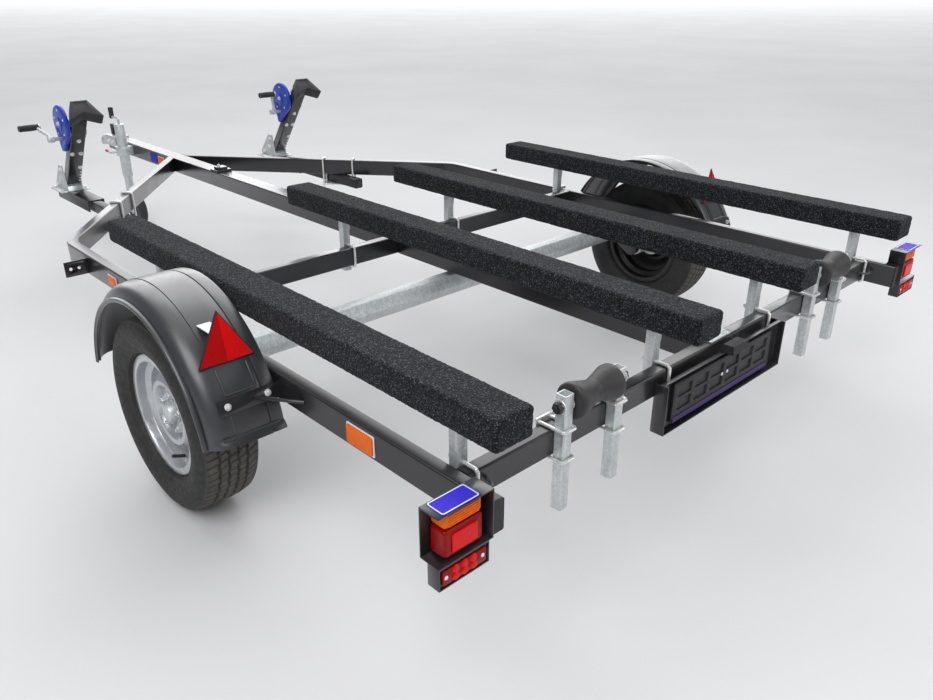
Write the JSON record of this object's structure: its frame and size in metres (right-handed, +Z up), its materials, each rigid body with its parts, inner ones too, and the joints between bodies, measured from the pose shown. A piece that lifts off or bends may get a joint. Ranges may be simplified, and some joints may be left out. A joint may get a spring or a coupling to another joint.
{
  "type": "personal watercraft trailer",
  "caption": "Road trailer for two personal watercraft: black tube frame, torsion axle, fenders, carpeted bunks, keel rollers, winch stands, ball coupling and jockey wheel.",
  "frame": {"origin": "on the ground, at the middle of the length and width of the trailer as it parks", "axes": "+X forward to the ball coupling, +Y to the left, +Z up"},
  "size_m": [4.644, 2.544, 0.8989],
  "materials": {
    "frame_paint": "satin black powder coat",
    "galvanised": "hot-dip galvanised",
    "rim_silver": "silver paint",
    "tyre_rubber": "road tread",
    "fender_plastic": "smooth moulded",
    "carpet": "looped marine carpet",
    "roller_rubber": "matt",
    "red_lens": "prismatic lens",
    "amber_lens": "prismatic lens",
    "blue_plastic": "moulded",
    "black_plastic": "moulded"
  },
  "bodies": {
    "chassis": {"spine": "frame_paint", "side_rail_left": "frame_paint", "side_rail_right": "frame_paint", "rear_crossbeam": "frame_paint", "front_crossbeam": "frame_paint", "winch_outrigger_left": "frame_paint", "winch_outrigger_right": "frame_paint", "winch_post_left": "frame_paint", "winch_post_right": "frame_paint", "fender_stays": "frame_paint", "plate_bracket": "frame_paint", "light_box_left": "frame_paint", "light_box_right": "frame_paint", "marker_brackets": "frame_paint", "axle_beam": "galvanised", "axle_arm_left": "galvanised", "axle_arm_right": "galvanised", "bunk_posts": "galvanised", "clamps": "galvanised", "roller_posts": "galvanised", "winch_frame_left": "galvanised", "winch_frame_right": "galvanised", "coupling_head": "galvanised", "jockey_clamp": "galvanised", "jockey_tube": "galvanised", "jockey_crank": "galvanised", "fender_left": "fender_plastic", "fender_right": "fender_plastic", "bunk_left_outer": "carpet", "bunk_left_inner": "carpet", "bunk_right_inner": "carpet", "bunk_right_outer": "carpet", "bow_stop_left": "roller_rubber", "bow_stop_right": "roller_rubber", "tail_lamps": "red_lens", "led_lamps": "red_lens", "triangle_reflectors": "red_lens", "side_reflectors": "amber_lens", "winch_cover_left": "blue_plastic", "winch_cover_right": "blue_plastic", "plate_holder": "black_plastic", "plate_lamp": "black_plastic", "coupling_lever": "black_plastic", "light_leads": "black_plastic"},
    "wheel_left": {"tyre_left": "tyre_rubber", "rim_left": "rim_silver", "hub_left": "galvanised"},
    "wheel_right": {"tyre_right": "tyre_rubber", "rim_right": "rim_silver", "hub_right": "galvanised"},
    "roller_left": {"keel_roller_left": "roller_rubber"},
    "roller_right": {"keel_roller_right": "roller_rubber"},
    "drum_left": {"winch_drum_left": "galvanised"},
    "drum_right": {"winch_drum_right": "galvanised"},
    "crank_left": {"winch_crank_left": "galvanised"},
    "crank_right": {"winch_crank_right": "galvanised"},
    "jockey_slide": {"jockey_leg": "galvanised"},
    "jockey_caster": {"jockey_fork": "galvanised"},
    "jockey_roll": {"jockey_wheel": "roller_rubber"}
  },
  "joints": [
    {"name": "wheel_spin_left", "type": "hinge", "parent": "chassis", "child": "wheel_left", "pos_m": [-1.168, 1.165, 0.2945], "axis": [0, 1, 0], "continuous": true},
    {"name": "roller_spin_left", "type": "hinge", "parent": "chassis", "child": "roller_left", "pos_m": [-2.223, 0.619, 0.56], "axis": [0, 1, 0], "continuous": true},
    {"name": "drum_spin_left", "type": "hinge", "parent": "chassis", "child": "drum_left", "pos_m": [1.00922, 0.612, 0.78196], "axis": [0, 1, 0], "continuous": true},
    {"name": "crank_spin_left", "type": "hinge", "parent": "chassis", "child": "crank_left", "pos_m": [1.01922, 0.612, 0.70996], "axis": [0, 1, 0], "continuous": true},
    {"name": "wheel_spin_right", "type": "hinge", "parent": "chassis", "child": "wheel_right", "pos_m": [-1.168, -1.165, 0.2945], "axis": [0, 1, 0], "continuous": true},
    {"name": "roller_spin_right", "type": "hinge", "parent": "chassis", "child": "roller_right", "pos_m": [-2.223, -0.619, 0.56], "axis": [0, 1, 0], "continuous": true},
    {"name": "drum_spin_right", "type": "hinge", "parent": "chassis", "child": "drum_right", "pos_m": [1.00922, -0.612, 0.78196], "axis": [0, 1, 0], "continuous": true},
    {"name": "crank_spin_right", "type": "hinge", "parent": "chassis", "child": "crank_right", "pos_m": [1.01922, -0.612, 0.70996], "axis": [0, 1, 0], "continuous": true},
    {"name": "jockey_raise", "type": "slide", "parent": "chassis", "child": "jockey_slide", "axis": [0, 0, 1], "range_m": [-0.08, 0.08]},
    {"name": "jockey_swivel", "type": "hinge", "parent": "jockey_slide", "child": "jockey_caster", "pos_m": [1.819, 0.084, 0.2], "axis": [0, 0, 1], "continuous": true},
    {"name": "jockey_wheel_spin", "type": "hinge", "parent": "jockey_caster", "child": "jockey_roll", "pos_m": [1.757, 0.084, 0.1], "axis": [0, 1, 0], "continuous": true}
  ],
  "couplings": [
    {"joint": "crank_spin_left", "follows": "drum_spin_left", "ratio": -3},
    {"joint": "crank_spin_right", "follows": "drum_spin_right", "ratio": -3}
  ]
}
